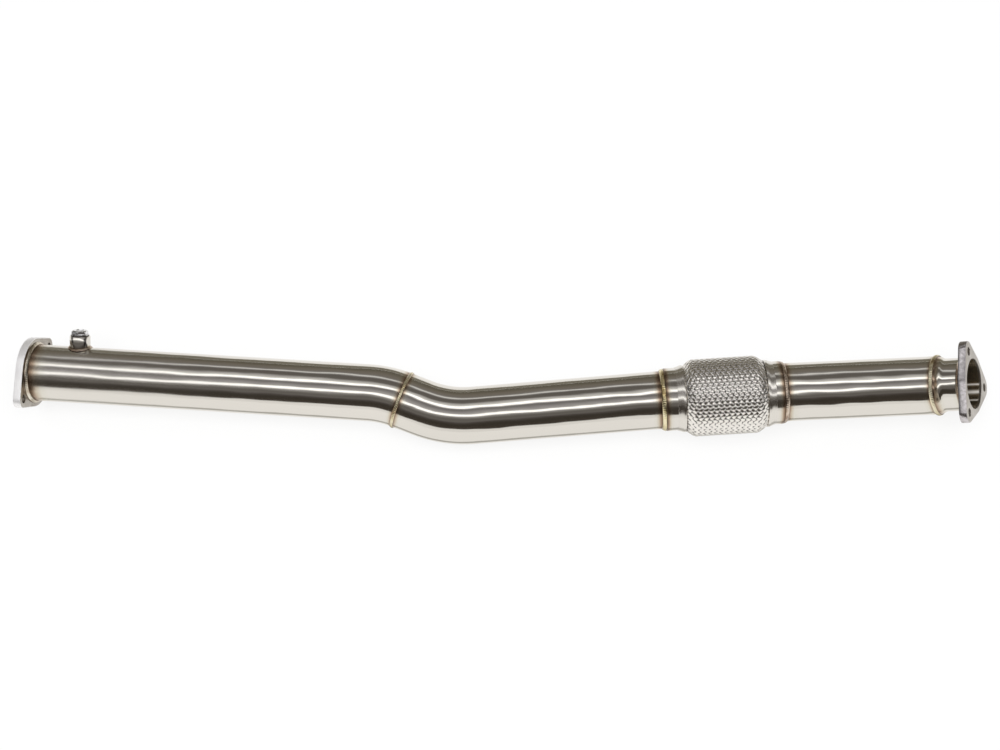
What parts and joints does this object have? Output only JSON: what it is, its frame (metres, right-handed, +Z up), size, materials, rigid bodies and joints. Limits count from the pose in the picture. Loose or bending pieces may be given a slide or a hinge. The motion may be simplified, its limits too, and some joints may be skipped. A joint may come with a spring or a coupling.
{
  "type": "turbo downpipe",
  "caption": "Bent steel exhaust pipe with a bolt flange at each end, a braided flexible joint, a plugged sensor boss and a reduced angled neck.",
  "frame": {"origin": "centre of the bore at the outlet flange's gasket face", "axes": "+X along the straight outlet tube towards the flexible joint, +Z up as the pipe lies on a flat surface"},
  "size_m": [1.2805, 0.1587, 0.116],
  "materials": {
    "outlet_plate": "cut and brushed plate",
    "weld": "straw and brown heat tint",
    "outlet_tube": "polished stainless steel",
    "bung": "turned steel",
    "plug": "bright plated",
    "middle_tube": "polished stainless steel",
    "flex_collar": "polished stainless steel",
    "flex_cap": "rolled steel",
    "bellows": "dull thin steel",
    "liner": "dull thin steel",
    "braid": "bright woven wire",
    "inlet_tube": "polished stainless steel",
    "neck": "polished stainless steel",
    "inlet_plate": "dull mill finish"
  },
  "bodies": {
    "root": {"outlet_flange": "outlet_plate", "outlet_flange_weld": "weld", "outlet_tube": "outlet_tube", "sensor_bung": "bung", "sensor_bung_weld": "weld", "plug_washer": "plug", "sensor_plug": "plug", "bend_weld": "weld", "middle_tube": "middle_tube", "flex_outlet_weld": "weld", "flex_outlet_collar": "flex_collar", "flex_outlet_cap": "flex_cap", "flex_bellows": "bellows", "flex_liner": "liner", "flex_braid": "braid", "flex_inlet_collar": "flex_collar", "flex_inlet_cap": "flex_cap", "flex_inlet_weld": "weld", "inlet_tube": "inlet_tube", "neck_weld": "weld", "inlet_neck": "neck", "inlet_flange_weld": "weld", "inlet_flange": "inlet_plate"}
  },
  "joints": []
}
